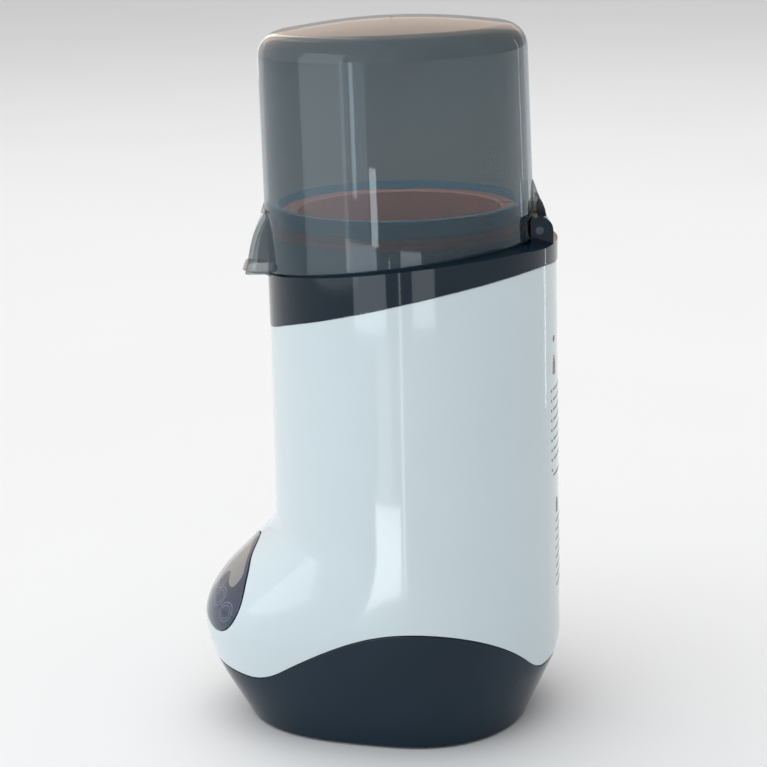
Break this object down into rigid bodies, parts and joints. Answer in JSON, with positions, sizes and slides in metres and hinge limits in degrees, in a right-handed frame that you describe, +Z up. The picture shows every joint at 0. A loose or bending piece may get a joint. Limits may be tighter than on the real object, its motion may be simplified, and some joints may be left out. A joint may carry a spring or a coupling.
{
  "type": "bottle warmer",
  "caption": "Round baby bottle warmer with a sloping control foot, a heated well with a lift-out basket, and a hinged smoke-grey hood.",
  "frame": {"origin": "on the ground under the middle of the overall box; the body's round axis is 14.3 mm behind it", "axes": "+Z up along the body, -Y towards the control foot, +Y towards the hood's hinge, +X to the side"},
  "size_m": [0.1104, 0.1396, 0.2707],
  "materials": {
    "white_shell": "high-gloss moulded ABS",
    "dark_base": "gloss navy moulded ABS",
    "collar": "high-gloss navy moulded ABS",
    "hood": "clear smoke-grey polycarbonate",
    "lid_hinge": "satin black moulded plastic",
    "control_panel": "gloss navy touch panel",
    "inner_plastic": "plain moulded plastic",
    "base_plate": "fine spark-textured plastic",
    "rubber": "matt rubber",
    "seal": "satin silicone",
    "basket": "satin translucent polypropylene",
    "well": "satin coated aluminium",
    "heater": "cast aluminium",
    "steel": "plain steel",
    "screw": "zinc plated",
    "brass": "plain brass",
    "circuit_board": "solder-masked board",
    "component_dark": "moulded component",
    "component_blue": "moulded component",
    "component_yellow": "film-wrapped component",
    "component_green": "moulded terminal block",
    "ceramic": "glazed ceramic tube",
    "wire": "silicone insulation",
    "display": "grey display"
  },
  "bodies": {
    "root": {"outer_shell": "white_shell", "base_shell": "dark_base", "base_plate": "base_plate", "rubber_feet": "rubber", "base_screws": "screw", "collar": "collar", "neck_seal": "seal", "hinge_pin": "steel", "cup_gasket": "seal", "chamber_cup": "well", "heating_plate": "heater", "heater_element": "steel", "thermostat": "brass", "thermal_fuse": "ceramic", "ntc_sensor": "brass", "heat_shield": "steel", "support_frame": "inner_plastic", "stack_screws": "screw", "power_board": "circuit_board", "board_screws": "screw", "relay": "component_blue", "transformer": "component_yellow", "film_capacitor": "component_yellow", "electrolytic_capacitor": "component_dark", "terminal_block": "component_green", "power_inlet": "component_dark", "inlet_pins": "brass", "heater_leads": "wire", "panel_ribbon": "inner_plastic", "control_panel": "control_panel", "panel_bracket": "base_plate", "control_board": "circuit_board", "display_module": "display", "touch_springs": "brass", "panel_screws": "screw", "buzzer": "component_dark"},
    "lid": {"hood": "hood", "lid_hinge": "lid_hinge"},
    "basket": {"bottle_basket": "basket"}
  },
  "joints": [
    {"name": "hood_hinge", "type": "hinge", "parent": "root", "child": "lid", "pos_m": [0, 0.0607, 0.1935], "axis": [-1, 0, 0], "range_deg": [0, 100]},
    {"name": "basket_lift", "type": "slide", "parent": "root", "child": "basket", "axis": [0, 0, 1], "range_m": [0, 0.05]}
  ]
}
